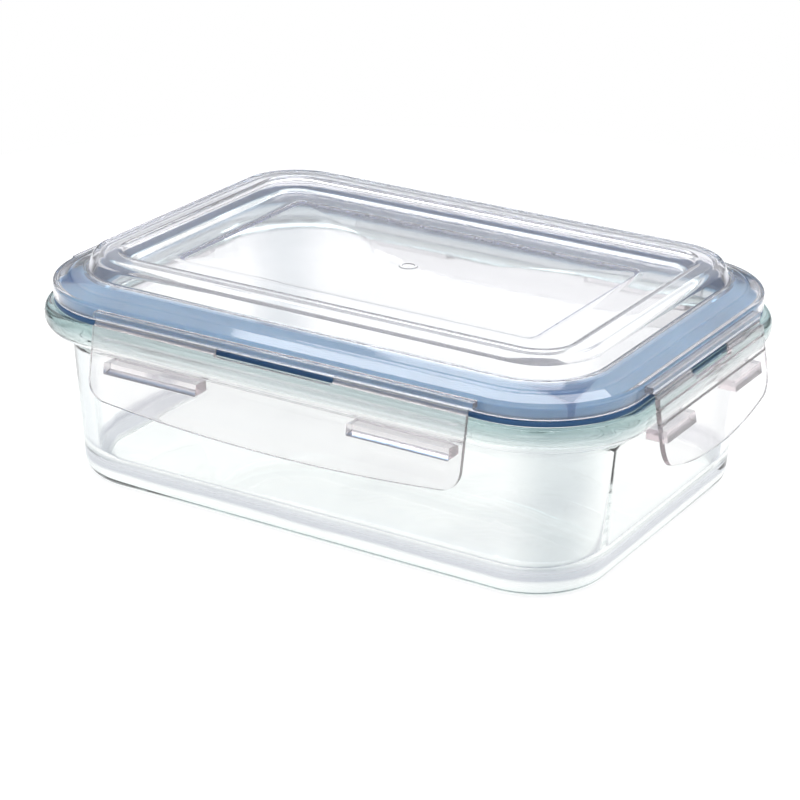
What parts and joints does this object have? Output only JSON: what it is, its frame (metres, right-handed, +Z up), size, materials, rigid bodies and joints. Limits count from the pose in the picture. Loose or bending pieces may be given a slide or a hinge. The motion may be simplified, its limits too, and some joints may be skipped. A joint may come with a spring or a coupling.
{
  "type": "glass storage container",
  "caption": "Rectangular glass food storage dish with a clear press-down lid, a blue sealing ring and a hinged snap flap on each side.",
  "frame": {"origin": "centre of the dish's flat base, on the surface it stands on", "axes": "+X along the long side, +Y towards the back long side, +Z up"},
  "size_m": [0.2054, 0.1514, 0.0695],
  "materials": {
    "glass": "clear polished glass with a faint green tint in the thick edges",
    "clear_plastic": "clear polypropylene, slightly hazy and faintly lilac",
    "blue_silicone": "smooth translucent blue silicone"
  },
  "bodies": {
    "dish": {"glass_dish": "glass"},
    "lid": {"lid": "clear_plastic", "silicone_gasket": "blue_silicone", "hinge_web_front_a": "clear_plastic", "hinge_web_front_b": "clear_plastic", "hinge_web_right_a": "clear_plastic", "hinge_web_right_b": "clear_plastic", "hinge_web_back_a": "clear_plastic", "hinge_web_back_b": "clear_plastic", "hinge_web_left_a": "clear_plastic", "hinge_web_left_b": "clear_plastic"},
    "latch_front": {"latch_front": "clear_plastic"},
    "latch_right": {"latch_right": "clear_plastic"},
    "latch_back": {"latch_back": "clear_plastic"},
    "latch_left": {"latch_left": "clear_plastic"}
  },
  "joints": [
    {"name": "lid_lift", "type": "slide", "parent": "dish", "child": "lid", "axis": [0, 0, 1], "range_m": [0, 0.09]},
    {"name": "latch_front_hinge", "type": "hinge", "parent": "lid", "child": "latch_front", "pos_m": [0, -0.071, 0.05765], "axis": [-1, 0, 0], "range_deg": [0, 120]},
    {"name": "latch_right_hinge", "type": "hinge", "parent": "lid", "child": "latch_right", "pos_m": [0.098, 0, 0.05765], "axis": [0, -1, 0], "range_deg": [0, 120]},
    {"name": "latch_back_hinge", "type": "hinge", "parent": "lid", "child": "latch_back", "pos_m": [0, 0.071, 0.05765], "axis": [1, 0, 0], "range_deg": [0, 120]},
    {"name": "latch_left_hinge", "type": "hinge", "parent": "lid", "child": "latch_left", "pos_m": [-0.098, 0, 0.05765], "axis": [0, 1, 0], "range_deg": [0, 120]}
  ]
}
